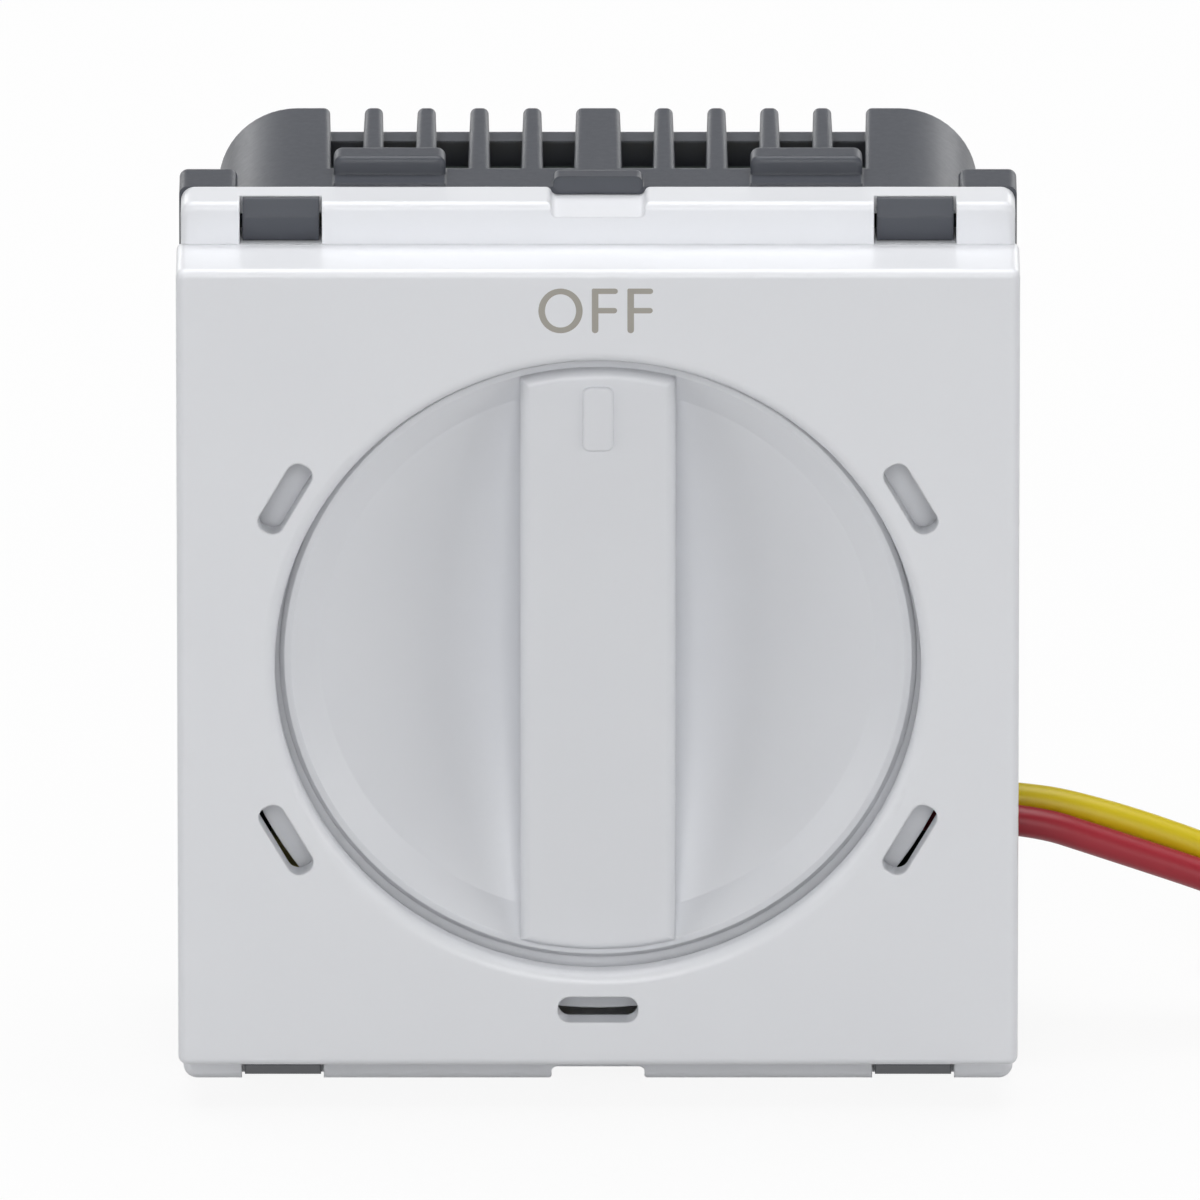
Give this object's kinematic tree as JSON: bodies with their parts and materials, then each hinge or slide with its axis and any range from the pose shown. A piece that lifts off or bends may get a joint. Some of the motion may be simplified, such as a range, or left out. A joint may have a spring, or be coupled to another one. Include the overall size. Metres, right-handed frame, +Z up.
{
  "type": "fan speed control switch",
  "caption": "Square white snap-in fan speed control with a dished rotary dial and grip bar, dark vented rear housing and two flying leads.",
  "frame": {"origin": "middle of the flat base the switch stands on, leads left out", "axes": "+X to the right seen from the front, +Y from the dial towards the rear housing, +Z up; the dial turns about +Y"},
  "size_m": [0.0801, 0.0372, 0.0508],
  "materials": {
    "cover": "glossy white moulded polycarbonate",
    "knob": "semi-gloss white moulded plastic",
    "housing": "satin dark grey moulded plastic",
    "phenolic": "matte brown-black moulding compound",
    "rotor": "natural white acetal",
    "contact": "plain brass",
    "spring": "spring steel",
    "board": "phenolic paper laminate",
    "capacitor": "yellow film capacitor case",
    "resistor": "lacquered resistor body",
    "screw": "zinc-plated steel",
    "grommet": "soft black bush",
    "yellow_pvc": "satin yellow PVC insulation",
    "red_pvc": "satin red PVC insulation",
    "tinned": "tinned copper strand"
  },
  "bodies": {
    "switch_body": {"front_cover": "cover", "rear_housing": "housing", "switch_base": "phenolic", "detent_spring": "spring", "fixed_contacts": "contact", "common_ring": "contact", "circuit_board": "board", "capacitor_upper": "capacitor", "capacitor_lower": "capacitor", "series_resistor_right": "resistor", "series_resistor_left": "resistor", "bleed_resistor_right": "resistor", "bleed_resistor_left": "resistor", "board_screws": "screw", "yellow_terminal": "contact", "red_terminal": "contact", "lead_grommet": "grommet", "yellow_lead": "yellow_pvc", "red_lead": "red_pvc", "yellow_lead_tip": "tinned", "red_lead_tip": "tinned"},
    "dial": {"knob": "knob", "rotor": "rotor", "wiper_contact": "contact"}
  },
  "joints": [
    {"name": "knob_turn", "type": "hinge", "parent": "switch_body", "child": "dial", "pos_m": [0, -0.00245, 0.02485], "axis": [0, 1, 0], "range_deg": [0, 300], "deforming": ["detent_spring"]}
  ]
}
